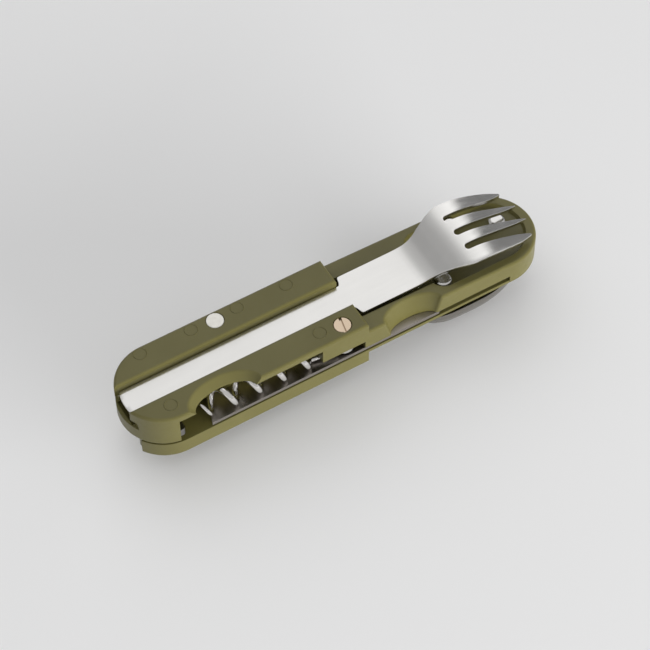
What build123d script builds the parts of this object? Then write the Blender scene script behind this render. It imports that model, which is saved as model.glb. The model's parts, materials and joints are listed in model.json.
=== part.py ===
from build123d import *
import os

# Folding picnic cutlery: a fork half over a spoon half, with a corkscrew, a knife and an opener
# folded into the sides of the fork half. Units are millimetres.
# Shared frame: the origin is under the middle of the body, level with the lowest point of the
# spoon's bowl; +X points along the body towards the tines, +Y towards the opener side, +Z up.
# The pieces are modelled from the flat bottoms of the rails and lifted when they are saved.

os.makedirs("parts", exist_ok=True)

# ---------------------------------------------------------------- driving dimensions
LENGTH = 114.2
WIDTH = 22.8
TOP = 15.2
END_BULGE = 0.8
LEFT = END_BULGE - LENGTH / 2
RIGHT = LENGTH / 2
HALF_WIDTH = WIDTH / 2
EDGE_ROUND = 0.7
FAR_OUT = 2 * WIDTH
BOWL_DROP = 5.8

# levels
LOWER_TOP = 5.0
UPPER_BOTTOM = 5.6
SPRING_FLOOR = 5.3
BLADE_BOTTOM = 5.4
BLADE_TOP = 6.4
BLADE_CEILING = 6.5
BAY_CEILING = 13.45
CHANNEL_FLOOR = 11.7
DECK_LEFT = 12.4
DECK_RIGHT = 10.9
TRAY_FLOOR = 10.0

# rails and channels
RAIL_END = LEFT + 60.3
RIM = 1.8
TRAY_LOW_MARGIN = 3.0
TRAY_LIP = 12.5
TRAY_LEFT = LEFT + 79.0
TRAY_CORNER = 6.0
TROUGH_HALF = 6.6
END_WINDOW_HALF = 6.1
CHANNEL_WIDTH = 7.6
STRIP_WIDTH = 7.3
SHANK_WIDTH = 12.2

# hinge of the fork
FORK_PIN_X = LEFT + 3.0
FORK_PIN_Z = 11.4
FORK_PIN_RADIUS = 1.0
FORK_STRIP_TOP = 13.0
FORK_STRIP_THICKNESS = 1.2
FORK_CAVITY_RADIUS = 3.5
# stations along the head: distance from the left end, height of the crest, drop at the sides
FORK_STATIONS = [
    (72.0, 13.0, 0.0),
    (76.0, 13.02, 0.03),
    (79.0, 13.2, 0.06),
    (82.5, 14.1, 0.12),
    (86.0, 15.75, 0.2),
    (89.5, 17.05, 0.3),
    (92.8, 17.45, 0.35),
    (96.5, 17.1, 0.35),
    (101.0, 16.0, 0.3),
    (106.0, 14.45, 0.25),
    (111.5, 12.9, 0.2),
]
HEAD_SPAN = 11.0
TIP_THICKNESS = 0.9
SLOT_LINES = [-4.9, 0.0, 4.9]
SILL_TOP = 9.3

# hinge of the spoon
SPOON_PIN_X = LEFT + 5.0
SPOON_PIN_Z = 3.6
SPOON_PIN_RADIUS = 0.6
SPOON_EYE_RADIUS = 1.25
SPOON_STRIP_TOP = 3.4
SPOON_STRIP_THICKNESS = 1.0
SPOON_RIM = 3.4
SPOON_WALL = 0.9
# stations along the bowl: distance from the left end, half width, height of the underside
SPOON_STATIONS = [
    (75.0, 7.0, 0.6),
    (78.0, 9.2, -2.6),
    (82.0, 10.6, -4.9),
    (87.0, 11.1, -5.7),
    (92.0, 11.1, -5.76),
    (97.0, 10.7, -5.2),
    (101.5, 9.6, -4.2),
    (105.5, 7.6, -2.5),
    (108.5, 4.9, -0.3),
    (110.0, 2.4, 1.4),
]
LOWER_CEILING = 3.8
PLATE_BOTTOM = 4.1
PLATE_END = LEFT + 100.7
PIN_LENGTH = 11.0
PIN_FIT = 0.03
HOLE_FIT = 0.05

# corkscrew
SCREW_X = LEFT + 54.9
SCREW_Y = -8.04
SCREW_HEAD_RADIUS = 2.25
SCREW_HEAD_DEPTH = 1.6
SCREW_SHAFT_RADIUS = 1.3
SCREW_SLOT_WIDTH = 0.75
SCREW_SLOT_DEPTH = 0.7
BAY_LEFT = LEFT + 9.0
BAY_RIGHT = LEFT + 47.5
BAY_INNER = -4.2
TANG_SLOT_RIGHT = LEFT + 59.3
TANG_SLOT_TOP = 8.95
TANG_TOP = 8.6
TANG_BOTTOM = 7.45
TANG_EYE_RADIUS = 3.1
TANG_SLOT_RADIUS = 3.7
WORM_Y = -8.05
WORM_Z = 9.85
WORM_RADIUS = 2.5
WIRE_RADIUS = 0.8
WORM_PITCH = 6.6
WORM_TURNS = 4.6
WORM_RIGHT = LEFT + 45.2
NUT_RADIUS = 2.6

# knife
KNIFE_PIN_X = LEFT + 84.5
KNIFE_PIN_Y = -6.2
KNIFE_PIN_RADIUS = 1.5
RIVET_HEAD_RADIUS = 2.25
RIVET_HEAD_HEIGHT = 1.1
RIVET_DOME = 0.9
TANG_RADIUS = 4.2
BLADE_TIP = LEFT + 17.4
BLADE_SPINE = -11.2
BLADE_EDGE = 1.4
KNIFE_POCKET_RIGHT = LEFT + 100.8
KNIFE_POCKET_INNER = 2.6
SPRING_RIVETS = [(LEFT + 95.0, 7.1), (LEFT + 105.6, 2.4)]
SPRING_GAP = 0.12

# scoops in the near side: level, half length and depth at the bottom and at the top
SCOOP_X = LEFT + 21.4
SCOOP_LOW = (BAY_CEILING - 0.4, 7.6, 3.1)
SCOOP_HIGH = (TOP + 0.01, 9.6, 5.8)
THUMB_X = LEFT + 73.0
THUMB_LOW = (BLADE_CEILING - 0.3, 6.3, 2.3)
THUMB_HIGH = (DECK_LEFT + 0.3, 8.1, 4.1)

# opener
OPENER_PIN_X = LEFT + 29.6
OPENER_PIN_Y = 8.7
OPENER_PIN_RADIUS = 1.3
OPENER_BOTTOM = 9.45
OPENER_THICKNESS = 1.3
OPENER_SLOT_BOTTOM = 9.35
OPENER_SLOT_TOP = 10.95
OPENER_LENGTH = 29.0
OPENER_HALF_WIDTH = 2.5

# sliding T-rail between the halves
RAIL_Y = 6.0
RAIL_LEFT = LEFT + 8.0
RAIL_RIGHT = LEFT + 80.0
RAIL_NECK = 1.6
RAIL_HEAD = 3.0
RAIL_HEAD_BOTTOM = 7.1
RAIL_HEAD_TOP = 8.2
GROOVE_NECK = 2.0
GROOVE_HEAD = 3.4
GROOVE_BOTTOM = 7.0
GROOVE_TOP = 8.45


def body_outline(margin=0.0):
    """Plan outline of both halves: straight sides and semicircular ends."""
    with BuildSketch(mode=Mode.PRIVATE) as outline:
        SlotOverall(LENGTH - 2 * margin, WIDTH - 2 * margin)
    return outline.sketch


def save(part, name):
    """Lift one piece into the shared frame, label it and write its STEP file."""
    lifted = Pos(0, 0, BOWL_DROP) * part
    lifted.label = name
    export_step(lifted, f"parts/{name}.step")


def box_cut(x_range, y_range, z_range):
    """Remove a plain box, given by its limits, from the part being built."""
    size = [limits[1] - limits[0] for limits in (x_range, y_range, z_range)]
    centre = [(limits[1] + limits[0]) / 2 for limits in (x_range, y_range, z_range)]
    with Locations(tuple(centre)):
        Box(*size, mode=Mode.SUBTRACT)


def round_cut(centre, radius, z_range):
    """Remove an upright round hole at one plan point from the part being built."""
    with BuildSketch(Plane.XY.offset(z_range[0]), mode=Mode.PRIVATE) as hole:
        with Locations(centre):
            Circle(radius)
    extrude(hole.sketch, amount=z_range[1] - z_range[0], mode=Mode.SUBTRACT)


def cross_bore(x, z, radius, length):
    """Remove a bore along Y, centred on the middle plane, from the part being built."""
    with Locations(Location((x, 0, z), (90, 0, 0))):
        Cylinder(radius, length, mode=Mode.SUBTRACT)


def finger_scoop(x, low, high):
    """Remove a flared scoop in the near side; low and high are (level, half length, depth)."""
    sections = []
    for level, half_length, depth in (low, high):
        with BuildSketch(Plane.XY.offset(level), mode=Mode.PRIVATE) as ring:
            with Locations((x, -HALF_WIDTH)):
                Ellipse(half_length, depth)
        sections.append(ring.sketch)
    loft(sections=sections, mode=Mode.SUBTRACT)


def spring_outline(margin=0.0):
    """Plan outline of the knife's back spring: a foot on two rivets and an arm to the tang."""
    with BuildSketch(mode=Mode.PRIVATE) as arm:
        with Locations((KNIFE_PIN_X - 1.0, KNIFE_PIN_Y + TANG_RADIUS + SPRING_GAP + 1.6)):
            Circle(1.6 + margin)
        with Locations(SPRING_RIVETS[0]):
            Circle(2.4 + margin)
        make_hull()
    with BuildSketch(mode=Mode.PRIVATE) as foot:
        with Locations(*SPRING_RIVETS):
            Circle(2.4 + margin)
        make_hull()
    return arm.sketch, foot.sketch


# ---------------------------------------------------------------- fork half of the handle
with BuildPart() as upper_handle:
    with BuildSketch(Plane.XY.offset(UPPER_BOTTOM)):
        add(body_outline())
    extrude(amount=TOP - UPPER_BOTTOM)
    # the end wall beyond the lower plate reaches down to the plate's underside
    with BuildSketch(Plane.XY.offset(PLATE_BOTTOM)):
        add(body_outline())
        with Locations((KNIFE_POCKET_RIGHT - LENGTH / 2, 0)):
            Rectangle(LENGTH, FAR_OUT, mode=Mode.SUBTRACT)
    extrude(amount=UPPER_BOTTOM - PLATE_BOTTOM)
    # the step down to the tray, whose deck slopes gently to the right end
    with BuildSketch(Plane.XZ.offset(-WIDTH)):
        with BuildLine():
            Polyline(
                (RAIL_END, TOP + 1),
                (RAIL_END, DECK_LEFT),
                (RIGHT, DECK_RIGHT),
                (RIGHT, TOP + 1),
                close=True,
            )
        make_face()
    extrude(amount=2 * WIDTH, mode=Mode.SUBTRACT)
    deck_face = upper_handle.faces().filter_by(lambda f: 0.9 < f.normal_at().Z < 0.99999)[0]
    fillet(deck_face.edges().filter_by(lambda e: e.center().X > RAIL_END + 0.1), EDGE_ROUND)
    # channel for the fork's stem, open at the left end
    box_cut((LEFT - 1, RAIL_END + 1), (-CHANNEL_WIDTH / 2, CHANNEL_WIDTH / 2), (CHANNEL_FLOOR, TOP + 1))
    # scoop for a finger above the corkscrew, and the soft edges of the rails
    finger_scoop(SCOOP_X, SCOOP_LOW, SCOOP_HIGH)
    rail_faces = upper_handle.faces().filter_by(Plane.XY).group_by(Axis.Z)[-1]
    fillet(rail_faces.edges(), EDGE_ROUND)
    # thumb scoop that bares the knife's back
    finger_scoop(THUMB_X, THUMB_LOW, THUMB_HIGH)
    scoop_rim = upper_handle.edges().filter_by(
        lambda e: abs(e.center().X - THUMB_X) < 1.0
        and DECK_RIGHT < e.center().Z < DECK_LEFT
        and e.center().Y < -TROUGH_HALF
    )
    fillet(scoop_rim, EDGE_ROUND)
    # round cavity for the hinge eye, and the window over the sill in the end wall
    with Locations(Location((FORK_PIN_X, 0, FORK_PIN_Z), (90, 0, 0))):
        Cylinder(FORK_CAVITY_RADIUS, CHANNEL_WIDTH, mode=Mode.SUBTRACT)
    box_cut((LEFT - 1, FORK_PIN_X), (-CHANNEL_WIDTH / 2, CHANNEL_WIDTH / 2), (SILL_TOP, TOP + 1))
    box_cut((LEFT - 1, LEFT + 0.9), (-END_WINDOW_HALF, END_WINDOW_HALF), (SILL_TOP, CHANNEL_FLOOR))
    cross_bore(FORK_PIN_X, FORK_PIN_Z, FORK_PIN_RADIUS + HOLE_FIT, PIN_LENGTH + 2 * HOLE_FIT)
    # pocket for the fork's leaf spring under the stem
    box_cut((FORK_PIN_X, FORK_PIN_X + 19), (-2.6, 2.6), (CHANNEL_FLOOR - 1.2, CHANNEL_FLOOR + 0.1))
    round_cut((FORK_PIN_X + 16, 0), 0.75 + HOLE_FIT, (8.9, CHANNEL_FLOOR))
    # tray: a trough beside the shank, and a bowl with sloping walls under the fork's head
    box_cut((RAIL_END, TRAY_LEFT + 4), (-TROUGH_HALF, TROUGH_HALF), (TRAY_FLOOR, TOP))
    tray_rings = []
    for level, margin in ((TRAY_FLOOR, TRAY_LOW_MARGIN), (TRAY_LIP, RIM)):
        with BuildSketch(Plane.XY.offset(level), mode=Mode.PRIVATE) as ring:
            add(body_outline(margin))
            with Locations((TRAY_LEFT + margin - LENGTH / 2, 0)):
                Rectangle(LENGTH, FAR_OUT, mode=Mode.SUBTRACT)
            fillet(ring.vertices().group_by(Axis.X)[0], TRAY_CORNER - margin)
        tray_rings.append(ring.sketch)
    loft(sections=tray_rings, mode=Mode.SUBTRACT)
    for rivet in ((KNIFE_PIN_X, KNIFE_PIN_Y), *SPRING_RIVETS):
        round_cut(rivet, RIVET_HEAD_RADIUS + HOLE_FIT, (TRAY_FLOOR, TRAY_LIP))
    # bay of the corkscrew
    box_cut((BAY_LEFT, BAY_RIGHT), (-WIDTH, BAY_INNER), (BLADE_CEILING - 0.01, BAY_CEILING))
    # slot of the corkscrew's tang, and the hole of its screw
    tang_slot_levels = (BLADE_CEILING - 0.01, TANG_SLOT_TOP)
    box_cut((BAY_RIGHT - 0.1, TANG_SLOT_RIGHT), (-WIDTH, SCREW_Y), tang_slot_levels)
    box_cut((BAY_RIGHT - 0.1, SCREW_X), (-WIDTH, SCREW_Y + TANG_SLOT_RADIUS), tang_slot_levels)
    round_cut((SCREW_X, SCREW_Y), TANG_SLOT_RADIUS, tang_slot_levels)
    round_cut((SCREW_X, SCREW_Y), SCREW_SHAFT_RADIUS + HOLE_FIT, (TANG_SLOT_TOP - 0.1, TOP + 1))
    round_cut((SCREW_X, SCREW_Y), SCREW_HEAD_RADIUS + HOLE_FIT, (TOP - SCREW_HEAD_DEPTH, TOP + 1))
    # layer of the knife, open along the near side
    knife_levels = (UPPER_BOTTOM - 0.1, BLADE_CEILING)
    box_cut((BAY_LEFT, KNIFE_POCKET_RIGHT), (-WIDTH, KNIFE_POCKET_INNER), knife_levels)
    for outline in spring_outline(0.35):
        with BuildSketch(Plane.XY.offset(SPRING_FLOOR)):
            add(outline)
        extrude(amount=BLADE_CEILING - SPRING_FLOOR, mode=Mode.SUBTRACT)
    box_cut((LEFT + 80.5, KNIFE_POCKET_RIGHT), (0, HALF_WIDTH - 1.6), knife_levels)
    round_cut((KNIFE_PIN_X, KNIFE_PIN_Y), KNIFE_PIN_RADIUS + HOLE_FIT, (BLADE_CEILING - 0.1, TRAY_FLOOR + 1))
    for rivet in SPRING_RIVETS:
        round_cut(rivet, KNIFE_PIN_RADIUS + HOLE_FIT, (BLADE_CEILING - 0.1, TRAY_FLOOR + 1))
    # slot of the opener along the far side, its rivet hole and its finger scoop
    with BuildSketch(Plane.XY.offset(OPENER_SLOT_BOTTOM)):
        with Locations((OPENER_PIN_X, OPENER_PIN_Y)):
            Circle(OPENER_HALF_WIDTH + 0.3)
        with Locations((OPENER_PIN_X + OPENER_LENGTH / 2, OPENER_PIN_Y + 2.0)):
            Rectangle(OPENER_LENGTH + 0.8, 2 * OPENER_HALF_WIDTH + 4.6)
        with BuildLine():
            Polyline(
                (OPENER_PIN_X, OPENER_PIN_Y - 2.8),
                (OPENER_PIN_X - 1.4, OPENER_PIN_Y - 2.5),
                (OPENER_PIN_X - 10.6, HALF_WIDTH + 0.1),
                (OPENER_PIN_X, HALF_WIDTH + 0.1),
                close=True,
            )
        make_face()
    extrude(amount=OPENER_SLOT_TOP - OPENER_SLOT_BOTTOM, mode=Mode.SUBTRACT)
    round_cut((OPENER_PIN_X, OPENER_PIN_Y), OPENER_PIN_RADIUS + HOLE_FIT, (8.75, TOP + 1))
    round_cut((OPENER_PIN_X, OPENER_PIN_Y), SCREW_HEAD_RADIUS + HOLE_FIT, (TOP - 1.2, TOP + 1))
    with Locations((LEFT + 53.0, HALF_WIDTH + 4.2, 10.1)):
        Sphere(6.0, mode=Mode.SUBTRACT)
    # T-groove for the rail of the spoon half, open at the left end
    groove_span = (LEFT - 1, RAIL_RIGHT + 0.4)
    neck_sides = (RAIL_Y - GROOVE_NECK / 2, RAIL_Y + GROOVE_NECK / 2)
    head_sides = (RAIL_Y - GROOVE_HEAD / 2, RAIL_Y + GROOVE_HEAD / 2)
    box_cut(groove_span, neck_sides, (UPPER_BOTTOM - 0.1, GROOVE_BOTTOM + 0.1))
    box_cut(groove_span, head_sides, (GROOVE_BOTTOM, GROOVE_TOP))
    # tenon hole of the blade rest in the bay's end wall
    box_cut((BAY_LEFT - 1.6, BAY_LEFT + 0.1), (-10.6, -9.0), (8.0, 9.6))
save(upper_handle.part, "upper_handle")

# ---------------------------------------------------------------- spoon half of the handle
with BuildPart() as lower_handle:
    with BuildSketch():
        add(body_outline())
    extrude(amount=LOWER_TOP)
    fillet(lower_handle.faces().sort_by(Axis.Z)[0].edges(), EDGE_ROUND)
    box_cut((RAIL_END, RIGHT + 1), (-WIDTH, WIDTH), (-1, PLATE_BOTTOM))
    box_cut((PLATE_END, RIGHT + 1), (-WIDTH, WIDTH), (-1, TOP))
    box_cut((LEFT - 1, RAIL_END + 1), (-CHANNEL_WIDTH / 2, CHANNEL_WIDTH / 2), (-1, LOWER_CEILING))
    box_cut((LEFT - 1, SPOON_PIN_X + 1.6), (-CHANNEL_WIDTH / 2, CHANNEL_WIDTH / 2), (-1, TOP))
    box_cut((LEFT - 1, LEFT + 1.6), (-END_WINDOW_HALF, END_WINDOW_HALF), (-1, TOP))
    box_cut((SPOON_PIN_X, SPOON_PIN_X + 16), (-2.7, 2.7), (LOWER_CEILING - 0.1, 4.35))
    round_cut((SPOON_PIN_X + 12.5, 0), 0.75 + HOLE_FIT, (4.0, 4.75))
    cross_bore(SPOON_PIN_X, SPOON_PIN_Z, SPOON_PIN_RADIUS + HOLE_FIT, PIN_LENGTH + 2 * HOLE_FIT)
    # T-rail that slides in the fork half
    rail_middle = (RAIL_LEFT + RAIL_RIGHT) / 2
    with BuildSketch(Plane.XY.offset(LOWER_TOP)):
        with Locations((rail_middle, RAIL_Y)):
            Rectangle(RAIL_RIGHT - RAIL_LEFT, RAIL_NECK)
    extrude(amount=RAIL_HEAD_BOTTOM - LOWER_TOP)
    with BuildSketch(Plane.XY.offset(RAIL_HEAD_BOTTOM)):
        with Locations((rail_middle, RAIL_Y)):
            Rectangle(RAIL_RIGHT - RAIL_LEFT, RAIL_HEAD)
    extrude(amount=RAIL_HEAD_TOP - RAIL_HEAD_BOTTOM)
save(lower_handle.part, "lower_handle")

# ---------------------------------------------------------------- fork


def sheet_section(x, crest, drop, thickness):
    """Cross-section of a domed sheet at one station: an arc over an arc, or a flat bar."""
    with BuildSketch(Plane.YZ.offset(x)) as section:
        with BuildLine():
            if drop == 0.0:
                Line((-HEAD_SPAN, crest - thickness), (HEAD_SPAN, crest - thickness))
                Line((HEAD_SPAN, crest - thickness), (HEAD_SPAN, crest))
                Line((HEAD_SPAN, crest), (-HEAD_SPAN, crest))
                Line((-HEAD_SPAN, crest), (-HEAD_SPAN, crest - thickness))
            else:
                side = crest - drop
                low = crest - thickness
                ThreePointArc((-HEAD_SPAN, side - thickness), (0, low), (HEAD_SPAN, side - thickness))
                Line((HEAD_SPAN, side - thickness), (HEAD_SPAN, side))
                ThreePointArc((HEAD_SPAN, side), (0, crest), (-HEAD_SPAN, side))
                Line((-HEAD_SPAN, side), (-HEAD_SPAN, side - thickness))
        make_face()
    return section.sketch


with BuildPart() as fork_blank:
    fork_sections = []
    for distance, crest, drop in FORK_STATIONS:
        taper = (distance - FORK_STATIONS[0][0]) / (FORK_STATIONS[-1][0] - FORK_STATIONS[0][0])
        thickness = FORK_STRIP_THICKNESS + taper * (TIP_THICKNESS - FORK_STRIP_THICKNESS)
        fork_sections.append(sheet_section(LEFT + distance, crest, drop, thickness))
    loft(sections=fork_sections)
    stem_end = LEFT + FORK_STATIONS[0][0]
    with Locations(((LEFT + stem_end) / 2, 0, FORK_STRIP_TOP - FORK_STRIP_THICKNESS / 2)):
        Box(stem_end - LEFT, 2 * HEAD_SPAN, FORK_STRIP_THICKNESS)

with BuildPart() as fork:
    with BuildSketch() as fork_plan:
        with BuildLine():
            stem_start = LEFT + 0.35
            shoulder = RAIL_END + 1.2
            flare = LEFT + 80.0
            tip_x = LEFT + 109.2
            tip_y = 7.9
            half_strip = STRIP_WIDTH / 2
            half_shank = SHANK_WIDTH / 2
            ThreePointArc((stem_start + 0.6, -half_strip), (stem_start, 0), (stem_start + 0.6, half_strip))
            Line((stem_start + 0.6, half_strip), (shoulder, half_strip))
            Line((shoulder, half_strip), (shoulder, half_shank))
            Line((shoulder, half_shank), (flare, half_shank))
            Spline(
                (flare, half_shank),
                (LEFT + 84.5, 7.1),
                (LEFT + 88.0, 8.75),
                (LEFT + 92.5, 9.75),
                (LEFT + 98.0, 9.6),
                (LEFT + 104.0, 8.9),
                (tip_x, tip_y),
                tangents=[(1, 0), (1, -0.2)],
            )
            ThreePointArc((tip_x, tip_y), (LEFT + 111.1, 0), (tip_x, -tip_y))
            Spline(
                (tip_x, -tip_y),
                (LEFT + 104.0, -8.9),
                (LEFT + 98.0, -9.6),
                (LEFT + 92.5, -9.75),
                (LEFT + 88.0, -8.75),
                (LEFT + 84.5, -7.1),
                (flare, -half_shank),
                tangents=[(-1, -0.2), (-1, 0)],
            )
            Line((flare, -half_shank), (shoulder, -half_shank))
            Line((shoulder, -half_shank), (shoulder, -half_strip))
            Line((shoulder, -half_strip), (stem_start + 0.6, -half_strip))
        make_face()
        shoulder_corners = fork_plan.vertices().filter_by(lambda v: abs(v.X - shoulder) < 0.01)
        fillet(shoulder_corners, 1.0)
        for middle in SLOT_LINES:
            spread = middle * 0.94
            slot_start = LEFT + 92.3
            with Locations((slot_start, middle)):
                Circle(0.9, mode=Mode.SUBTRACT)
            with BuildLine():
                Spline(
                    (slot_start, middle + 0.9),
                    (LEFT + 101.0, middle + 1.0),
                    (LEFT + 107.0, spread + 1.6),
                    (LEFT + 112.0, spread + 2.3),
                )
                Line((LEFT + 112.0, spread + 2.3), (LEFT + 112.0, spread - 2.3))
                Spline(
                    (LEFT + 112.0, spread - 2.3),
                    (LEFT + 107.0, spread - 1.6),
                    (LEFT + 101.0, middle - 1.0),
                    (slot_start, middle - 0.9),
                )
                Line((slot_start, middle - 0.9), (slot_start, middle + 0.9))
            make_face(mode=Mode.SUBTRACT)
    extrude(amount=2 * TOP)
    add(fork_blank.part, mode=Mode.INTERSECT)
    # the hinge eye hangs under the stem
    eye_radius = FORK_STRIP_TOP - FORK_PIN_Z - 0.02
    with Locations(Location((FORK_PIN_X, 0, FORK_PIN_Z), (90, 0, 0))):
        Cylinder(eye_radius, STRIP_WIDTH)
    cross_bore(FORK_PIN_X, FORK_PIN_Z, FORK_PIN_RADIUS + PIN_FIT, WIDTH)
save(fork.part, "fork")

with BuildPart() as fork_hinge_pin:
    with Locations(Location((FORK_PIN_X, 0, FORK_PIN_Z), (90, 0, 0))):
        Cylinder(FORK_PIN_RADIUS, PIN_LENGTH)
    chamfer(fork_hinge_pin.edges(), 0.2)
save(fork_hinge_pin.part, "fork_hinge_pin")

with BuildPart() as fork_spring:
    with Locations((FORK_PIN_X + 10.35, 0, 11.3)):
        Box(16.5, 4.4, 0.4)
    round_cut((FORK_PIN_X + 16, 0), 0.75, (8.9, CHANNEL_FLOOR))
save(fork_spring.part, "fork_spring")

with BuildPart() as fork_spring_rivet:
    with Locations((FORK_PIN_X + 16, 0, 10.25)):
        Cylinder(0.75, 2.5)
    with Locations((FORK_PIN_X + 16, 0, 11.62)):
        Cylinder(1.3, 0.24)
save(fork_spring_rivet.part, "fork_spring_rivet")

# ---------------------------------------------------------------- spoon

def bowl_section(x, half, low):
    """Closed cross-section of a bowl: steep sides over a rounded floor."""
    with BuildSketch(Plane.YZ.offset(x)) as section:
        with BuildLine():
            knee = 0.82 * half
            knee_height = SPOON_RIM - 0.66 * (SPOON_RIM - low)
            Spline((-half, SPOON_RIM), (-knee, knee_height), (0, low), (knee, knee_height), (half, SPOON_RIM))
            Line((half, SPOON_RIM), (-half, SPOON_RIM))
        make_face()
    return section.sketch


with BuildPart() as spoon:
    loft(sections=[bowl_section(LEFT + x, half, low) for x, half, low in SPOON_STATIONS])
    hollow_sections = []
    for x, half, low in SPOON_STATIONS:
        inward = SPOON_WALL * (1 if x < 90.0 else -1)
        hollow_sections.append(bowl_section(LEFT + x + inward, half - SPOON_WALL, low + SPOON_WALL))
    loft(sections=hollow_sections, mode=Mode.SUBTRACT)
    with BuildSketch(Plane.XY.offset(SPOON_STRIP_TOP - SPOON_STRIP_THICKNESS)) as spoon_stem:
        with Locations(((SPOON_PIN_X + RAIL_END + 2) / 2, 0)):
            Rectangle(RAIL_END + 2 - SPOON_PIN_X, STRIP_WIDTH)
        with BuildLine():
            Polyline(
                (RAIL_END + 1.2, half_shank),
                (LEFT + 73.0, half_shank),
                (LEFT + 76.0, half_shank + 0.5),
                (LEFT + 76.0, -half_shank - 0.5),
                (LEFT + 73.0, -half_shank),
                (RAIL_END + 1.2, -half_shank),
                close=True,
            )
        make_face()
    extrude(amount=SPOON_STRIP_THICKNESS)
    with Locations(Location((SPOON_PIN_X, 0, SPOON_PIN_Z), (90, 0, 0))):
        Cylinder(SPOON_EYE_RADIUS, STRIP_WIDTH)
    cross_bore(SPOON_PIN_X, SPOON_PIN_Z, SPOON_PIN_RADIUS + PIN_FIT, WIDTH)
save(spoon.part, "spoon")

with BuildPart() as spoon_hinge_pin:
    with Locations(Location((SPOON_PIN_X, 0, SPOON_PIN_Z), (90, 0, 0))):
        Cylinder(SPOON_PIN_RADIUS, PIN_LENGTH)
    chamfer(spoon_hinge_pin.edges(), 0.15)
save(spoon_hinge_pin.part, "spoon_hinge_pin")

with BuildPart() as spoon_spring:
    with Locations((SPOON_PIN_X + 8.3, 0, 3.9)):
        Box(13.8, 4.4, 0.3)
    round_cut((SPOON_PIN_X + 12.5, 0), 0.75, (3.0, 4.6))
save(spoon_spring.part, "spoon_spring")

with BuildPart() as spoon_spring_rivet:
    with Locations((SPOON_PIN_X + 12.5, 0, 4.1)):
        Cylinder(0.75, 1.1)
    with Locations((SPOON_PIN_X + 12.5, 0, 3.65)):
        Cylinder(1.3, 0.2)
save(spoon_spring_rivet.part, "spoon_spring_rivet")

# ---------------------------------------------------------------- corkscrew
with BuildPart() as corkscrew:
    with BuildSketch(Plane.XY.offset(TANG_BOTTOM)) as tang_plan:
        with Locations((SCREW_X, SCREW_Y)):
            Circle(TANG_EYE_RADIUS)
        with Locations((WORM_RIGHT + 1.5, WORM_Y - 1.7)):
            Circle(1.35)
        make_hull()
        with Locations((SCREW_X, SCREW_Y)):
            Circle(SCREW_SHAFT_RADIUS + PIN_FIT, mode=Mode.SUBTRACT)
    extrude(amount=TANG_TOP - TANG_BOTTOM)
    with BuildLine() as worm_path:
        Helix(
            WORM_PITCH,
            WORM_PITCH * WORM_TURNS,
            WORM_RADIUS,
            center=(WORM_RIGHT, WORM_Y, WORM_Z),
            direction=(-1, 0, 0),
        )
    with BuildSketch(Plane(origin=worm_path.line @ 0, z_dir=worm_path.line % 0)):
        Circle(WIRE_RADIUS)
    sweep(path=worm_path.line, is_frenet=True)
    with Locations(worm_path.line @ 0):
        Sphere(WIRE_RADIUS)
save(corkscrew.part, "corkscrew")

with BuildPart() as corkscrew_screw:
    with Locations((SCREW_X, SCREW_Y, TOP - SCREW_HEAD_DEPTH / 2)):
        Cylinder(SCREW_HEAD_RADIUS, SCREW_HEAD_DEPTH)
    chamfer(corkscrew_screw.edges().group_by(Axis.Z)[-1], 0.2)
    shaft_length = TOP - 0.2 - 6.95
    with Locations((SCREW_X, SCREW_Y, 6.95 + shaft_length / 2)):
        Cylinder(SCREW_SHAFT_RADIUS, shaft_length)
    with Locations(Location((SCREW_X, SCREW_Y, TOP), (0, 0, -12))):
        Box(SCREW_SLOT_WIDTH, 3 * SCREW_HEAD_RADIUS, 2 * SCREW_SLOT_DEPTH, mode=Mode.SUBTRACT)
save(corkscrew_screw.part, "corkscrew_screw")

with BuildPart() as corkscrew_washer:
    with Locations((SCREW_X, SCREW_Y, 8.78)):
        Cylinder(2.9, 0.24)
    round_cut((SCREW_X, SCREW_Y), SCREW_SHAFT_RADIUS + HOLE_FIT, (8.0, 9.0))
save(corkscrew_washer.part, "corkscrew_washer")

with BuildPart() as corkscrew_nut:
    with Locations((SCREW_X, SCREW_Y, 7.13)):
        Cylinder(NUT_RADIUS, 0.5)
    round_cut((SCREW_X, SCREW_Y), SCREW_SHAFT_RADIUS + 0.01, (6.5, 8.0))
save(corkscrew_nut.part, "corkscrew_nut")

# ---------------------------------------------------------------- knife
with BuildPart() as knife_blade:
    with BuildSketch(Plane.XY.offset(BLADE_BOTTOM)):
        with BuildLine():
            Line((BLADE_TIP, BLADE_SPINE), (BLADE_TIP + 1.2, BLADE_SPINE + 4.2))
            Spline(
                (BLADE_TIP + 1.2, BLADE_SPINE + 4.2),
                (BLADE_TIP + 4.0, BLADE_EDGE - 2.7),
                (BLADE_TIP + 9.5, BLADE_EDGE),
                tangents=[(0.28, 1), (1, 0)],
            )
            Line((BLADE_TIP + 9.5, BLADE_EDGE), (KNIFE_PIN_X - 9.5, BLADE_EDGE))
            Line((KNIFE_PIN_X - 9.5, BLADE_EDGE), (KNIFE_PIN_X - 7.5, KNIFE_PIN_Y + 3.4))
            Line((KNIFE_PIN_X - 7.5, KNIFE_PIN_Y + 3.4), (KNIFE_PIN_X, KNIFE_PIN_Y + 3.4))
            Line((KNIFE_PIN_X, KNIFE_PIN_Y + 3.4), (KNIFE_PIN_X, KNIFE_PIN_Y - 3.4))
            Line((KNIFE_PIN_X, KNIFE_PIN_Y - 3.4), (KNIFE_PIN_X - 4.2, BLADE_SPINE))
            Line((KNIFE_PIN_X - 4.2, BLADE_SPINE), (BLADE_TIP, BLADE_SPINE))
        make_face()
        with Locations((KNIFE_PIN_X, KNIFE_PIN_Y)):
            Circle(TANG_RADIUS)
            Circle(KNIFE_PIN_RADIUS + PIN_FIT, mode=Mode.SUBTRACT)
    extrude(amount=BLADE_TOP - BLADE_BOTTOM)
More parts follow.
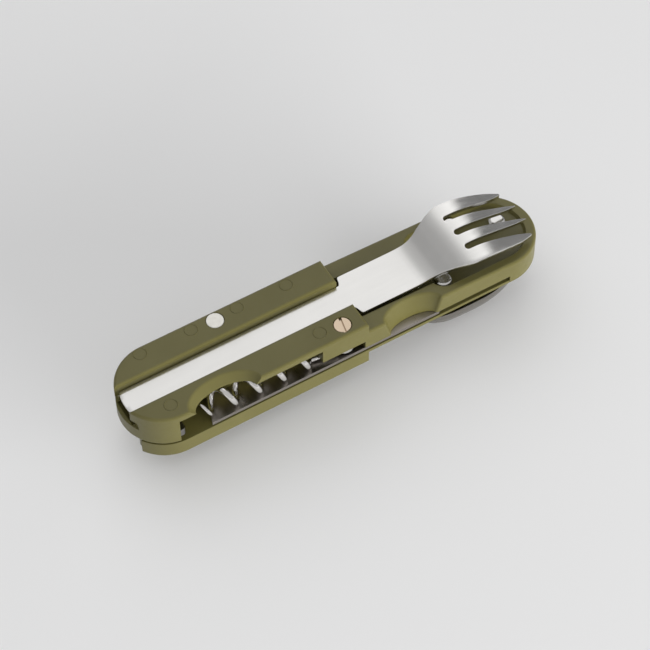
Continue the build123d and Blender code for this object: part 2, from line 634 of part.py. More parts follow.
save(knife_blade.part, "knife_blade")

with BuildPart() as knife_pivot_rivet:
    with Locations((KNIFE_PIN_X, KNIFE_PIN_Y, TRAY_FLOOR + RIVET_HEAD_HEIGHT / 2)):
        Cylinder(RIVET_HEAD_RADIUS, RIVET_HEAD_HEIGHT)
    fillet(knife_pivot_rivet.edges().group_by(Axis.Z)[-1], RIVET_DOME)
    with Locations((KNIFE_PIN_X, KNIFE_PIN_Y, (TRAY_FLOOR + 5.2) / 2)):
        Cylinder(KNIFE_PIN_RADIUS, TRAY_FLOOR - 5.2)
    with Locations((KNIFE_PIN_X, KNIFE_PIN_Y, 5.25)):
        Cylinder(2.6, 0.18)
save(knife_pivot_rivet.part, "knife_pivot_rivet")

with BuildPart() as knife_back_spring:
    with BuildSketch(Plane.XY.offset(BLADE_BOTTOM)) as spring_plan:
        for outline in spring_outline():
            add(outline)
        with Locations(*SPRING_RIVETS):
            Circle(KNIFE_PIN_RADIUS, mode=Mode.SUBTRACT)
    extrude(amount=BLADE_TOP - BLADE_BOTTOM)
save(knife_back_spring.part, "knife_back_spring")

with BuildPart() as spring_rivets:
    for spot in SPRING_RIVETS:
        with Locations((*spot, TRAY_FLOOR + RIVET_HEAD_HEIGHT / 2)):
            Cylinder(RIVET_HEAD_RADIUS, RIVET_HEAD_HEIGHT)
        with Locations((*spot, (TRAY_FLOOR + BLADE_BOTTOM) / 2)):
            Cylinder(KNIFE_PIN_RADIUS, TRAY_FLOOR - BLADE_BOTTOM)
    fillet(spring_rivets.edges().group_by(Axis.Z)[-1], RIVET_DOME)
save(spring_rivets.part, "spring_rivets")

with BuildPart() as blade_rest:
    with Locations((BAY_LEFT + 0.8, -9.75, 8.1)):
        Box(1.6, 2.4, 2.4)
    fillet(blade_rest.edges().filter_by(Axis.Z).sort_by(Axis.X)[-2:], 0.7)
    with Locations((BAY_LEFT - 0.7, -9.8, 8.8)):
        Box(1.4, 1.5, 1.5)
save(blade_rest.part, "blade_rest")

# ---------------------------------------------------------------- opener
with BuildPart() as opener:
    with BuildSketch(Plane.XY.offset(OPENER_BOTTOM)) as opener_plan:
        with BuildLine():
            opener_end = OPENER_PIN_X + OPENER_LENGTH
            outer = OPENER_PIN_Y + OPENER_HALF_WIDTH
            inner_side = OPENER_PIN_Y - OPENER_HALF_WIDTH
            Polyline(
                (OPENER_PIN_X, outer),
                (opener_end - 1.0, outer),
                (opener_end, outer - 1.0),
                (opener_end, inner_side + 0.6),
                (opener_end - 2.6, inner_side + 0.1),
                (opener_end - 4.2, inner_side + 2.4),
                (opener_end - 9.0, inner_side + 2.4),
                (opener_end - 10.0, inner_side),
                (OPENER_PIN_X, inner_side),
                close=True,
            )
        make_face()
        with Locations((OPENER_PIN_X, OPENER_PIN_Y)):
            Circle(OPENER_HALF_WIDTH)
            Circle(OPENER_PIN_RADIUS + PIN_FIT, mode=Mode.SUBTRACT)
    extrude(amount=OPENER_THICKNESS)
save(opener.part, "opener")

with BuildPart() as opener_rivet:
    with Locations((OPENER_PIN_X, OPENER_PIN_Y, TOP - 0.6)):
        Cylinder(SCREW_HEAD_RADIUS, 1.2)
    fillet(opener_rivet.edges().group_by(Axis.Z)[-1], 0.25)
    with Locations((OPENER_PIN_X, OPENER_PIN_Y, (8.8 + TOP - 0.6) / 2)):
        Cylinder(OPENER_PIN_RADIUS, TOP - 0.6 - 8.8)
save(opener_rivet.part, "opener_rivet")
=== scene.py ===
import json
import math

import bmesh
import bpy
from mathutils import Matrix, Vector


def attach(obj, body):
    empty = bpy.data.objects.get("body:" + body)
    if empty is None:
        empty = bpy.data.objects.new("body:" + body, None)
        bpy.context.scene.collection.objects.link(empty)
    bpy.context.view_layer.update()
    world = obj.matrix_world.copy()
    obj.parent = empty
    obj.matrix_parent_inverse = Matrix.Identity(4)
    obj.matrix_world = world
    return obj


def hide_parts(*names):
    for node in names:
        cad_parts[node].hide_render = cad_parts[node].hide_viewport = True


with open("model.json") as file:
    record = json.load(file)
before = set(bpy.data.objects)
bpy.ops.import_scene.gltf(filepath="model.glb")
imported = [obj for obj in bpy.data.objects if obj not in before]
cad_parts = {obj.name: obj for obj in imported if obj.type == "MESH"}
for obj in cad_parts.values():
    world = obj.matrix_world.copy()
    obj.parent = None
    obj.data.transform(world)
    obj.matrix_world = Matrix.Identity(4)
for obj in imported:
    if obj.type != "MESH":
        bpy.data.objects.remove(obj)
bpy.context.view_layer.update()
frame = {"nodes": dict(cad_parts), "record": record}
NODES = frame["nodes"]
MM = 0.001

# ---------------------------------------------------------------- camera
CAMERA_TURN = math.radians(29.99)
CAMERA_ELEVATION = math.radians(54.22)
CAMERA_ROLL = math.radians(-0.89)
CAMERA_DISTANCE = 567.5 * MM
CAMERA_TARGET = Vector((-4.99, -5.99, 21.0)) * MM
CAMERA_LENS = 132.46
CAMERA_SENSOR = 36.0

# ---------------------------------------------------------------- looks
OLIVE = (0.112, 0.100, 0.027)
OLIVE_LIGHT = (0.130, 0.117, 0.035)
FLOOR_COLOUR = (0.87, 0.87, 0.872)
# brightness of the surroundings behind the object, from its left (0) to its right (1)
TENT_STOPS = [
    (0.00, 0.50),
    (0.28, 0.40),
    (0.33, 0.42),
    (0.44, 0.56),
    (0.62, 0.98),
    (0.72, 1.10),
    (0.77, 1.25),
    (0.80, 0.75),
    (0.83, 0.18),
    (0.90, 0.22),
    (1.00, 0.60),
]
TENT_FRONT = 0.58


def add_camera():
    """Camera at the product's three-quarter view, with a long lens."""
    flat = Vector((math.sin(CAMERA_TURN), math.cos(CAMERA_TURN), 0))
    forward = flat * math.cos(CAMERA_ELEVATION) - Vector((0, 0, math.sin(CAMERA_ELEVATION)))
    right = Vector((math.cos(CAMERA_TURN), -math.sin(CAMERA_TURN), 0))
    up = right.cross(forward)
    rolled_right = right * math.cos(CAMERA_ROLL) + up * math.sin(CAMERA_ROLL)
    rolled_up = up * math.cos(CAMERA_ROLL) - right * math.sin(CAMERA_ROLL)
    data = bpy.data.cameras.new("camera")
    data.lens = CAMERA_LENS
    data.sensor_width = CAMERA_SENSOR
    data.clip_start = 0.01
    data.clip_end = 20
    camera = bpy.data.objects.new("camera", data)
    bpy.context.scene.collection.objects.link(camera)
    place = Matrix((rolled_right, rolled_up, -forward)).transposed().to_4x4()
    place.translation = CAMERA_TARGET - forward * CAMERA_DISTANCE
    camera.matrix_world = place
    bpy.context.scene.camera = camera


def add_area_light(name, direction, distance, size, power, colour=(1, 1, 1)):
    """Soft rectangular light aimed at the middle of the object, which steel doesn't reflect."""
    data = bpy.data.lights.new(name, "AREA")
    data.shape = "RECTANGLE"
    data.size = size[0]
    data.size_y = size[1]
    data.energy = power
    data.color = colour
    light = bpy.data.objects.new(name, data)
    bpy.context.scene.collection.objects.link(light)
    light.visible_glossy = False
    place = Vector(direction).normalized() * distance
    aim = place.to_track_quat("Z", "Y").to_matrix().to_4x4()
    light.matrix_world = Matrix.Translation(place) @ aim


def add_floor():
    """Plain pale floor."""
    mesh = bpy.data.meshes.new("floor")
    half = 3.0
    corners = [(-half, -half, 0), (half, -half, 0), (half, half, 0), (-half, half, 0)]
    mesh.from_pydata(corners, [], [(0, 1, 2, 3)])
    floor = bpy.data.objects.new("floor", mesh)
    bpy.context.scene.collection.objects.link(floor)
    material = bpy.data.materials.new("floor_paper")
    material.use_nodes = True
    shader = material.node_tree.nodes["Principled BSDF"]
    shader.inputs["Base Color"].default_value = (*FLOOR_COLOUR, 1)
    shader.inputs["Roughness"].default_value = 0.9
    shader.inputs["Specular IOR Level"].default_value = 0.1
    mesh.materials.append(material)


def add_world():
    """Light tent: bands of brightness behind the object, even light from the front."""
    world = bpy.data.worlds.new("studio")
    world.use_nodes = True
    nodes = world.node_tree.nodes
    links = world.node_tree.links
    direction = nodes.new("ShaderNodeTexCoord").outputs["Generated"]
    axes = nodes.new("ShaderNodeSeparateXYZ")
    links.new(direction, axes.inputs["Vector"])
    across = nodes.new("ShaderNodeMapRange")
    across.inputs["From Min"].default_value = -1
    links.new(axes.outputs["X"], across.inputs["Value"])
    bands = nodes.new("ShaderNodeValToRGB")
    bands.color_ramp.interpolation = "EASE"
    for number, (position, value) in enumerate(TENT_STOPS):
        if number > 1:
            bands.color_ramp.elements.new(position)
        bands.color_ramp.elements[number].position = position
        bands.color_ramp.elements[number].color = (value, value, value, 1)
    links.new(across.outputs["Result"], bands.inputs["Fac"])
    behind = nodes.new("ShaderNodeMapRange")
    behind.interpolation_type = "SMOOTHSTEP"
    behind.inputs["From Max"].default_value = 0.35
    links.new(axes.outputs["Y"], behind.inputs["Value"])
    mix = nodes.new("ShaderNodeMix")
    mix.data_type = "RGBA"
    mix.inputs["A"].default_value = (TENT_FRONT, TENT_FRONT, TENT_FRONT, 1)
    links.new(behind.outputs["Result"], mix.inputs["Factor"])
    links.new(bands.outputs["Color"], mix.inputs["B"])
    links.new(mix.outputs["Result"], nodes["Background"].inputs["Color"])
    bpy.context.scene.world = world


class Shader:
    """A material's node tree, with short calls for the nodes used here."""

    def __init__(self, name):
        self.material = bpy.data.materials.new(name)
        self.material.use_nodes = True
        self.tree = self.material.node_tree
        self.surface = self.tree.nodes["Principled BSDF"]
        self.place = self.node("ShaderNodeTexCoord").outputs["Object"]

    def node(self, kind, **settings):
        made = self.tree.nodes.new(kind)
        for key, value in settings.items():
            setattr(made, key, value)
        return made

    def link(self, source, target):
        self.tree.links.new(source, target)

    def fixed(self, **values):
        for key, value in values.items():
            self.surface.inputs[key.replace("_", " ")].default_value = value

    def noise(self, scale, detail=3.0, roughness=0.5, stretch=(1, 1, 1)):
        mapping = self.node("ShaderNodeMapping")
        mapping.inputs["Scale"].default_value = stretch
        self.link(self.place, mapping.inputs["Vector"])
        made = self.node("ShaderNodeTexNoise")
        made.inputs["Scale"].default_value = scale
        made.inputs["Detail"].default_value = detail
        made.inputs["Roughness"].default_value = roughness
        self.link(mapping.outputs["Vector"], made.inputs["Vector"])
        return made.outputs["Fac"]

    def ramp(self, factor, low, high, start=0.3, end=0.7):
        """Map a 0 to 1 factor to a range of values or colours."""
        made = self.node("ShaderNodeValToRGB")
        for element, position, value in zip(made.color_ramp.elements, (start, end), (low, high)):
            element.position = position
            element.color = value if isinstance(value, tuple) else (value, value, value, 1)
        self.link(factor, made.inputs["Fac"])
        return made.outputs["Color"]

    def bump(self, height, distance, strength=1.0, normal=None):
        made = self.node("ShaderNodeBump")
        made.inputs["Distance"].default_value = distance
        made.inputs["Strength"].default_value = strength
        self.link(height, made.inputs["Height"])
        if normal is not None:
            self.link(normal, made.inputs["Normal"])
        return made.outputs["Normal"]

    def finish_normal(self, normal):
        self.link(normal, self.surface.inputs["Normal"])


def olive_plastic():
    """Moulded olive plastic: satin, a fine spark-eroded grain and faint flow variation."""
    shader = Shader("olive_plastic_moulded")
    shader.fixed(Metallic=0.0, IOR=1.5)
    flow = shader.noise(60, 2.0, 0.5)
    colour = shader.ramp(flow, (*OLIVE, 1), (*OLIVE_LIGHT, 1), 0.35, 0.75)
    shader.link(colour, shader.surface.inputs["Base Color"])
    wear = shader.noise(900, 3.0, 0.6)
    shader.link(shader.ramp(wear, 0.34, 0.46), shader.surface.inputs["Roughness"])
    grain = shader.noise(5200, 2.0, 0.6)
    edges = shader.node("ShaderNodeBevel", samples=6)
    edges.inputs["Radius"].default_value = 0.00022
    shader.finish_normal(shader.bump(grain, 0.00002, 0.35, edges.outputs["Normal"]))
    return shader.material


def steel(name, colour, roughness, brush, stretch, grain=0.00001, scale=900):
    """Stainless steel: polishing lines along one direction and slightly uneven gloss."""
    shader = Shader(name)
    shader.fixed(Metallic=1.0)
    cloud = shader.noise(45, 3.0, 0.5)
    darker = tuple(channel * 0.93 for channel in colour)
    shader.link(shader.ramp(cloud, (*darker, 1), (*colour, 1)), shader.surface.inputs["Base Color"])
    lines = shader.noise(scale, 4.0, 0.65, stretch)
    low, high = roughness
    shader.link(shader.ramp(lines, low, high), shader.surface.inputs["Roughness"])
    shader.finish_normal(shader.bump(lines, grain, brush))
    return shader.material


# look: material name, colour, lowest and highest roughness, strength of the lines, their stretch
STEELS = {
    "polished_steel": (
        "polished_steel_pressed",
        (0.80, 0.79, 0.77),
        (0.16, 0.26),
        0.05,
        (0.06, 1, 1),
    ),
    # spoon: the polished steel made darker, painted shade standing in for the shaded floor that its
    # bowl reflects
    "spoon_steel_painted_shade": (
        "spoon_pressed_steel_painted_shade",
        (0.34, 0.32, 0.29),
        (0.2, 0.3),
        0.05,
        (0.06, 1, 1),
    ),
    "corkscrew_steel": (
        "bright_wire",
        (0.78, 0.76, 0.74),
        (0.12, 0.2),
        0.15,
        (1, 1, 1),
    ),
    "blade_steel": (
        "ground_blade",
        (0.40, 0.37, 0.34),
        (0.26, 0.36),
        0.2,
        (1, 0.06, 1),
    ),
    "pin_steel": (
        "turned_pin",
        (0.30, 0.29, 0.28),
        (0.3, 0.4),
        0.3,
        (1, 0.1, 1),
    ),
    "spring_steel": (
        "spring_sheet",
        (0.50, 0.49, 0.47),
        (0.25, 0.35),
        0.3,
        (0.1, 1, 1),
    ),
    "screw_steel": (
        "screw_head",
        (0.70, 0.56, 0.42),
        (0.2, 0.3),
        0.2,
        (1, 0.1, 1),
    ),
    "rivet_steel": (
        "rivet_head",
        (0.74, 0.73, 0.71),
        (0.12, 0.22),
        0.2,
        (1, 1, 1),
    ),
    "aluminium": (
        "rivet_aluminium",
        (0.88, 0.86, 0.80),
        (0.35, 0.5),
        0.4,
        (1, 1, 1),
    ),
}
MATERIALS = {"olive_plastic": olive_plastic()}
for look, settings in STEELS.items():
    MATERIALS[look] = steel(*settings)


# ---------------------------------------------------------------- pressed and bent steel pieces
# millimetres: left end of the body, and height of the rails' bottoms above the floor
LEFT = -56.3
LIFT = 5.8
STEM_HALF = 3.65
EYE_HALF = 3.63
FORK_SHEET = 1.1
SPOON_SHEET = 0.95
FORK_PIN = (3.0, 11.4)
SPOON_PIN = (5.0, 3.6)
FORK_EYE_RADII = (1.56, 1.03)
SPOON_EYE_RADII = (1.22, 0.63)
SLOT_SPACING = 4.9
# distances along both stems where their shoulders need rows of points
SHOULDER_ROWS = (60.6, 60.8, 61.0, 61.2, 61.35, 61.5, 61.6, 61.8, 62.1)


def smooth_value(stations, x, column):
    """Value of one column of a station table at x, along a smooth monotone curve."""
    if x <= stations[0][0]:
        return stations[0][column]
    if x >= stations[-1][0]:
        return stations[-1][column]
    slopes = []
    steps = []
    for near, far in zip(stations, stations[1:]):
        steps.append(far[0] - near[0])
        slopes.append((far[column] - near[column]) / (far[0] - near[0]))
    tangents = [0.0]
    for before, after in zip(slopes, slopes[1:]):
        steepest = 3 * min(abs(before), abs(after))
        mean = min(abs(before + after) / 2, steepest)
        tangents.append(math.copysign(mean, before) if before * after > 0 else 0.0)
    tangents.append(slopes[-1])
    for index, step in enumerate(steps):
        start, end = stations[index], stations[index + 1]
        if x <= end[0]:
            t = (x - start[0]) / step
            return (
                (2 * t**3 - 3 * t**2 + 1) * start[column]
                + (t**3 - 2 * t**2 + t) * step * tangents[index]
                + (3 * t**2 - 2 * t**3) * end[column]
                + (t**3 - t**2) * step * tangents[index + 1]
            )
    return stations[-1][column]


def new_piece(name, mesh, node, body, slot, look=""):
    """Object from a mesh in millimetres, dressed and tied to its body."""
    mesh.transform(Matrix.Scale(MM, 4))
    for face in mesh.polygons:
        face.use_smooth = True
    piece = bpy.data.objects.new(name, mesh)
    bpy.context.scene.collection.objects.link(piece)
    mesh.materials.append(MATERIALS[look or slot])
    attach(piece, body)
    if node:
        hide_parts(node)
    return piece


def soften(piece, width, segments=3, angle=35):
    """Rounded edges with even shading."""
    bevel = piece.modifiers.new("bevel", "BEVEL")
    bevel.width = width * MM
    bevel.segments = segments
    bevel.limit_method = "ANGLE"
    bevel.angle_limit = math.radians(angle)
    bevel.use_clamp_overlap = True
    normals = piece.modifiers.new("normals", "WEIGHTED_NORMAL")
    normals.keep_sharp = True


def add_ring_prism(bm, x, z, outer, inner, half_length, segments=40):
    """Hollow cylinder along Y."""
    loops = []
    near, far = -half_length, half_length
    for radius, y in ((outer, near), (outer, far), (inner, far), (inner, near)):
        loop = []
        for step in range(segments):
            turn = 2 * math.pi * step / segments
            loop.append(bm.verts.new((x + radius * math.cos(turn), y, z + radius * math.sin(turn))))
        loops.append(loop)
    for index, loop in enumerate(loops):
        other = loops[(index + 1) % len(loops)]
        for step in range(segments):
            after = (step + 1) % segments
            bm.faces.new((loop[step], loop[after], other[after], other[step]))


# distance along the fork, height of its top, drop at its sides
FORK_LINE = [
    (0.0, 13.0, 0.0),
    (74.0, 13.0, 0.0),
    (79.0, 13.2, 0.05),
    (82.5, 14.1, 0.12),
    (86.0, 15.75, 0.2),
    (89.5, 17.05, 0.3),
    (92.8, 17.45, 0.35),
    (96.5, 17.1, 0.35),
    (101.0, 16.0, 0.3),
    (106.0, 14.45, 0.25),
    (111.5, 12.9, 0.2),
]
# distance along the fork, half its width
FORK_WIDTH = [
    (60.6, 3.65),
    (61.0, 3.9),
    (61.35, 4.7),
    (61.6, 5.7),
    (62.1, 6.1),
    (80.0, 6.1),
    (83.0, 6.55),
    (86.0, 7.75),
    (89.0, 9.0),
    (92.5, 9.7),
    (98.0, 9.6),
    (104.0, 8.95),
    (109.2, 7.95),
    (112.0, 7.3),
]
SLOT_START = 91.4
SLOT_RADIUS = 0.9
SLOT_FLARE = 0.95
SLOT_FLARE_LENGTH = 17.0
SLOT_FLARE_POWER = 1.7
TINES_DRAW_IN = 0.05
TINES_DRAW_IN_START = 98.0
TINES_DRAW_IN_LENGTH = 12.0
TINE_LENGTHS = (109.3, 110.8, 110.8, 109.3)
TINE_MIDDLES = (-7.3, -2.45, 2.45, 7.3)
TIPS_START = 105.0
TIP_SPAN = 4.0
TIP_NARROWING = 0.62


def tine_edges(x):
    """Sideways places of the eight edges of the four tines at one distance along the fork."""
    half = smooth_value(FORK_WIDTH, x, 1)
    edges = [-half]
    narrow = min(1.0, half / smooth_value(FORK_WIDTH, SLOT_START, 1)) if x < SLOT_START else 1.0
    for middle in (-SLOT_SPACING * narrow, 0.0, SLOT_SPACING * narrow):
        if x <= SLOT_START:
            gap = 0.0
        elif x <= SLOT_START + SLOT_RADIUS:
            gap = math.sqrt(max(SLOT_RADIUS**2 - (SLOT_START + SLOT_RADIUS - x) ** 2, 0.0))
        else:
            spread = (x - SLOT_START - SLOT_RADIUS) / SLOT_FLARE_LENGTH
            gap = SLOT_RADIUS + SLOT_FLARE * spread**SLOT_FLARE_POWER
        pull = 1.0 - TINES_DRAW_IN * max(0.0, (x - TINES_DRAW_IN_START) / TINES_DRAW_IN_LENGTH)
        edges += [middle * pull - gap, middle * pull + gap]
    edges.append(half)
    return edges


def build_fork():
    """Stem, shank and head of the fork as one pressed sheet."""
    bm = bmesh.new()
    xs = [0.35, 1.5, 4.0, 8.0, 16.0, 30.0, 45.0, 58.0, *SHOULDER_ROWS, 63.0]
    xs += [66.0 + 2.0 * k for k in range(6)] + [78.0 + 0.25 * k for k in range(54)]
    xs += [SLOT_START + d for d in (0.0, 0.06, 0.2, 0.42, 0.7, 0.9)]
    xs += [SLOT_START + 1.15 + 0.25 * k for k in range(80)]
    xs = sorted(x for x in xs if x <= 111.6)
    cuts = 4
    rows = []
    for x in xs:
        edges = tine_edges(x)
        half = max(smooth_value(FORK_WIDTH, x, 1), STEM_HALF)
        row = []
        for strip in range(7):
            for cut in range(cuts):
                y = edges[strip] + (edges[strip + 1] - edges[strip]) * cut / cuts
                row.append(y)
        row.append(edges[-1])
        line = []
        for y in row:
            crest = smooth_value(FORK_LINE, x, 1)
            drop = smooth_value(FORK_LINE, x, 2) * (y / half) ** 2
            along = x
            if x < 1.0:
                along = x + 0.6 * (y / half) ** 2
            line.append((LEFT + along, y, crest - drop + LIFT))
        rows.append(line)
    verts = [[None] * len(rows[0]) for _ in rows]

    def vert(i, j):
        if verts[i][j] is None:
            verts[i][j] = bm.verts.new(rows[i][j])
        return verts[i][j]

    for i in range(len(xs) - 1):
        for strip in range(7):
            slot = strip % 2 == 1
            if slot and (xs[i] >= SLOT_START - 1e-6 or edges_touch(xs[i], strip)):
                continue
            if not slot and xs[i] >= SLOT_START:
                tip = TINE_LENGTHS[strip // 2]
                if xs[i] >= tip - 1e-6:
                    continue
            for cut in range(cuts):
                j = strip * cuts + cut
                bm.faces.new((vert(i, j), vert(i + 1, j), vert(i + 1, j + 1), vert(i, j + 1)))
    bmesh.ops.remove_doubles(bm, verts=bm.verts, dist=0.002)
    shape_tips(bm)
    bm.normal_update()
    mesh = bpy.data.meshes.new("fork_sheet")
    bm.to_mesh(mesh)
    bm.free()
    piece = new_piece("fork_pressing", mesh, "fork", "fork", "polished_steel")
    solid = piece.modifiers.new("thickness", "SOLIDIFY")
    solid.thickness = FORK_SHEET * MM
    solid.offset = -1
    soften(piece, 0.16)

    bm = bmesh.new()
    add_ring_prism(bm, LEFT + FORK_PIN[0], FORK_PIN[1] + LIFT, *FORK_EYE_RADII, EYE_HALF)
    bmesh.ops.recalc_face_normals(bm, faces=bm.faces)
    mesh = bpy.data.meshes.new("fork_eye")
    bm.to_mesh(mesh)
    bm.free()
    eye = new_piece("fork_hinge_eye", mesh, "", "fork", "polished_steel")
    soften(eye, 0.08, 2)


def edges_touch(x, strip):
    """True where a slot's strip has no width, so it has no faces."""
    edges = tine_edges(x)
    return edges[strip + 1] - edges[strip] < 1e-6


def shape_tips(bm):
    """Draw each tine's end in to a blunt point."""
    for v in bm.verts:
        x = v.co.x - LEFT
        if x < TIPS_START:
            continue
        number = min(range(4), key=lambda k: abs(v.co.y - TINE_MIDDLES[k]))
        tip = TINE_LENGTHS[number]
        t = (x - (tip - TIP_SPAN)) / TIP_SPAN
        if t <= 0:
            continue
        t = min(t, 1.0)
        edges = tine_edges(min(x, tip))
        middle = (edges[2 * number] + edges[2 * number + 1]) / 2
        v.co.y = middle + (v.co.y - middle) * (1 - TIP_NARROWING * t**2)
        if x > tip - 1e-6:
            v.co.x = LEFT + tip


# distance along the spoon, half its width, level of its underside
SPOON_LINE = [
    (60.6, 3.65, 2.4),
    (61.0, 3.9, 2.4),
    (61.35, 4.7, 2.4),
    (61.6, 5.7, 2.4),
    (62.1, 6.1, 2.4),
    (73.6, 6.1, 2.4),
    (75.2, 6.7, 1.5),
    (77.0, 8.2, -0.9),
    (79.0, 9.6, -3.0),
    (82.0, 10.6, -4.7),
    (87.0, 11.1, -5.6),
    (92.0, 11.12, -5.75),
    (97.0, 10.75, -5.25),
    (101.5, 9.6, -4.2),
    (105.5, 7.6, -2.45),
    (108.5, 4.9, -0.3),
    (109.7, 3.0, 0.9),
    (110.2, 1.8, 1.5),
    (110.45, 0.4, 2.0),
]
SPOON_TOP = 2.4
BOWL_POWER = 2.5


def build_spoon():
    """Stem and bowl of the spoon as one pressed sheet."""
    bm = bmesh.new()
    xs = [5.0, 8.0, 16.0, 30.0, 45.0, 58.0, *SHOULDER_ROWS, 64.0, 67.0, 70.0, 73.0]
    xs += [73.6 + 0.55 * k for k in range(10)]
    xs += [79.5 + 1.15 * k for k in range(25)]
    xs += [108.2, 108.8, 109.3, 109.7, 110.0, 110.2, 110.35, 110.45]
    turns = 36
    rows = []
    for x in xs:
        half = smooth_value(SPOON_LINE, x, 1)
        depth = SPOON_TOP - smooth_value(SPOON_LINE, x, 2)
        row = []
        for step in range(turns + 1):
            angle = math.pi * step / turns
            across = math.copysign(abs(math.cos(angle)) ** (2 / BOWL_POWER), math.cos(angle))
            down = math.sin(angle) ** (2 / BOWL_POWER) if 0 < step < turns else 0.0
            if depth < 0.05:
                across = 1 - 2 * step / turns
            else:
                blend = min(1.0, depth / 3.0)
                across = across * blend + (1 - 2 * step / turns) * (1 - blend)
            row.append(bm.verts.new((LEFT + x, half * across, SPOON_TOP - depth * down + LIFT)))
        rows.append(row)
    for near, far in zip(rows, rows[1:]):
        for step in range(turns):
            bm.faces.new((near[step], near[step + 1], far[step + 1], far[step]))
    bmesh.ops.contextual_create(bm, geom=rows[-1])
    bm.normal_update()
    mesh = bpy.data.meshes.new("spoon_sheet")
    bm.to_mesh(mesh)
    bm.free()
    # the spoon takes the darker steel: painted shade on its stem and bowl
    piece = new_piece("spoon_pressing", mesh, "spoon", "spoon", "polished_steel", "spoon_steel_painted_shade")
    solid = piece.modifiers.new("thickness", "SOLIDIFY")
    solid.thickness = SPOON_SHEET * MM
    solid.offset = 1
    soften(piece, 0.2, 3, 50)

    bm = bmesh.new()
    add_ring_prism(bm, LEFT + SPOON_PIN[0], SPOON_PIN[1] + LIFT, *SPOON_EYE_RADII, EYE_HALF)
    bmesh.ops.recalc_face_normals(bm, faces=bm.faces)
    mesh = bpy.data.meshes.new("spoon_eye")
    bm.to_mesh(mesh)
    bm.free()
    eye = new_piece("spoon_hinge_eye", mesh, "", "spoon", "polished_steel", "spoon_steel_painted_shade")
    soften(eye, 0.08, 2)


SCREW = (54.9, -8.04)
WORM = (45.2, -8.05, 9.85)
WORM_RADIUS = 2.5
WORM_PITCH = 6.6
WORM_TURNS = 4.6
WIRE = 0.8
TANG_LEVEL = 8.02
TANG_REACH = 7.4
TANG_WIDENING = 1.5
TANG_THINNING = 0.25
TANG_EYE = (3.08, 1.34, 0.55)
POINT_TURNS = 0.8


def worm_point(turn):
    """Middle of the wire after a number of turns from the tang."""
    shrink = max(0.0, turn - (WORM_TURNS - 1.0))
    radius = WORM_RADIUS - 0.35 * shrink**2
    angle = 2 * math.pi * turn
    return Vector((
        LEFT + WORM[0] - WORM_PITCH * turn,
        WORM[1] - radius * math.sin(angle),
        WORM[2] - radius * math.cos(angle) + LIFT,
    ))


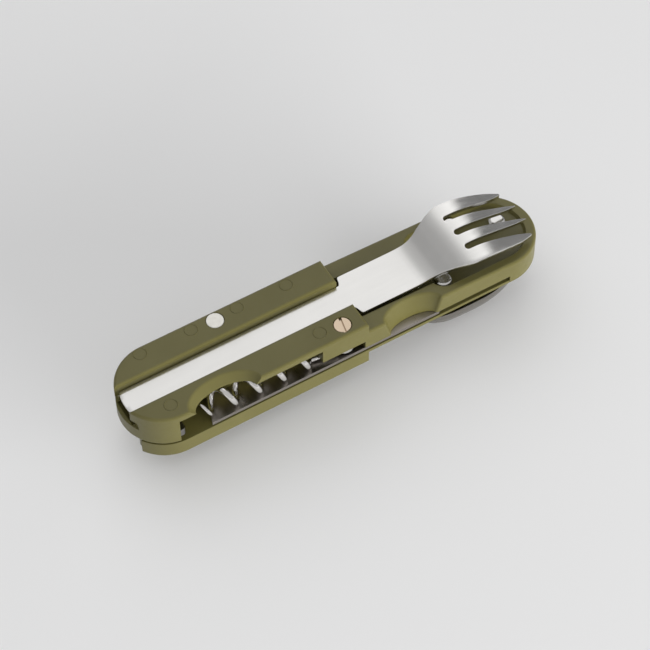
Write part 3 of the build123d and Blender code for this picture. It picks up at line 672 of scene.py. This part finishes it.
def build_corkscrew():
    """Right-handed worm with a ground point, run out into a flattened tang with an eye."""
    spine = []
    for step in range(9):
        along = 1 - step / 8
        bottom = WORM[2] - WORM_RADIUS
        rise = (TANG_LEVEL - bottom) * along**0.8
        place = Vector((LEFT + WORM[0] + TANG_REACH * along, WORM[1], bottom + rise + LIFT))
        spine.append((place, WIRE + TANG_WIDENING * along**1.3, WIRE - TANG_THINNING * along**0.6))
    steps = int(WORM_TURNS * 44)
    for step in range(1, steps + 1):
        turn = WORM_TURNS * step / steps
        left = (WORM_TURNS - turn) / POINT_TURNS
        size = WIRE * (1.0 if left >= 1 else 0.18 + 0.82 * left**0.75)
        spine.append((worm_point(turn), size, size))
    bm = bmesh.new()
    sides = 20
    rings = []
    across = Vector((0, 1, 0))
    for number, (place, wide, thick) in enumerate(spine):
        before = spine[max(number - 1, 0)][0]
        after = spine[min(number + 1, len(spine) - 1)][0]
        ahead = (after - before).normalized()
        across = (across - ahead * across.dot(ahead)).normalized()
        up = ahead.cross(across)
        ring = []
        for side in range(sides):
            angle = 2 * math.pi * side / sides
            sideways = across * wide * math.cos(angle)
            upward = up * thick * math.sin(angle)
            ring.append(bm.verts.new(place + sideways + upward))
        rings.append(ring)
    for near, far in zip(rings, rings[1:]):
        for side in range(sides):
            after = (side + 1) % sides
            bm.faces.new((near[side], near[after], far[after], far[side]))
    bm.faces.new(rings[0])
    bm.faces.new(reversed(rings[-1]))
    bmesh.ops.recalc_face_normals(bm, faces=bm.faces)
    mesh = bpy.data.meshes.new("worm")
    bm.to_mesh(mesh)
    bm.free()
    new_piece("corkscrew_worm", mesh, "corkscrew", "corkscrew", "corkscrew_steel")

    bm = bmesh.new()
    add_ring_prism(bm, 0, 0, *TANG_EYE, 48)
    turn = Matrix.Rotation(math.pi / 2, 4, "X")
    place = Matrix.Translation((LEFT + SCREW[0], SCREW[1], TANG_LEVEL + LIFT))
    bmesh.ops.transform(bm, matrix=place @ turn, verts=bm.verts)
    bmesh.ops.recalc_face_normals(bm, faces=bm.faces)
    mesh = bpy.data.meshes.new("tang_eye")
    bm.to_mesh(mesh)
    bm.free()
    eye = new_piece("corkscrew_tang_eye", mesh, "", "corkscrew", "corkscrew_steel")
    soften(eye, 0.15, 3)


# witness rings of the mould's ejector pins: distance from the left end and sideways place
EJECTOR_MARKS = [
    (9.7, 9.27),
    (23.35, 9.16),
    (35.88, 9.15),
    (49.33, 9.03),
    (9.05, -7.21),
    (49.1, -7.38),
]
EJECTOR_RADIUS = 1.62
# section of a ring: offset from its radius, height above the rail
EJECTOR_SECTION = ((-0.11, -0.02), (-0.05, 0.035), (0.05, 0.035), (0.11, -0.02))
RAIL_TOP = 15.2


def build_ejector_marks():
    """Faint raised rings that the ejector pins left on the rails."""
    bm = bmesh.new()
    segments = 56
    for x, y in EJECTOR_MARKS:
        loops = []
        for radius, height in EJECTOR_SECTION:
            loop = []
            for step in range(segments):
                turn = 2 * math.pi * step / segments
                reach = EJECTOR_RADIUS + radius
                loop.append(bm.verts.new((
                    LEFT + x + reach * math.cos(turn),
                    y + reach * math.sin(turn),
                    RAIL_TOP + LIFT + height,
                )))
            loops.append(loop)
        for index, loop in enumerate(loops):
            other = loops[(index + 1) % len(loops)]
            for step in range(segments):
                after = (step + 1) % segments
                bm.faces.new((loop[step], loop[after], other[after], other[step]))
    bmesh.ops.recalc_face_normals(bm, faces=bm.faces)
    mesh = bpy.data.meshes.new("ejector_marks")
    bm.to_mesh(mesh)
    bm.free()
    new_piece("ejector_marks", mesh, "", "fork_half", "olive_plastic")


def dress_cad_nodes():
    """Give every CAD node the finished material of its slot."""
    for row in frame["record"]["subparts"]:
        node = NODES[row["node"]]
        for holder in node.material_slots:
            holder.material = MATERIALS[row["material_slot"]]


bpy.context.scene.view_settings.view_transform = "Standard"
add_camera()
add_world()
add_floor()
add_area_light("back_key", (-0.35, 1.0, 0.9), 1.4, (1.2, 0.9), 2.5)
add_area_light("front_fill", (0.55, -1.0, 0.16), 1.2, (1.4, 0.26), 23)
dress_cad_nodes()
build_fork()
build_spoon()
build_corkscrew()
build_ejector_marks()
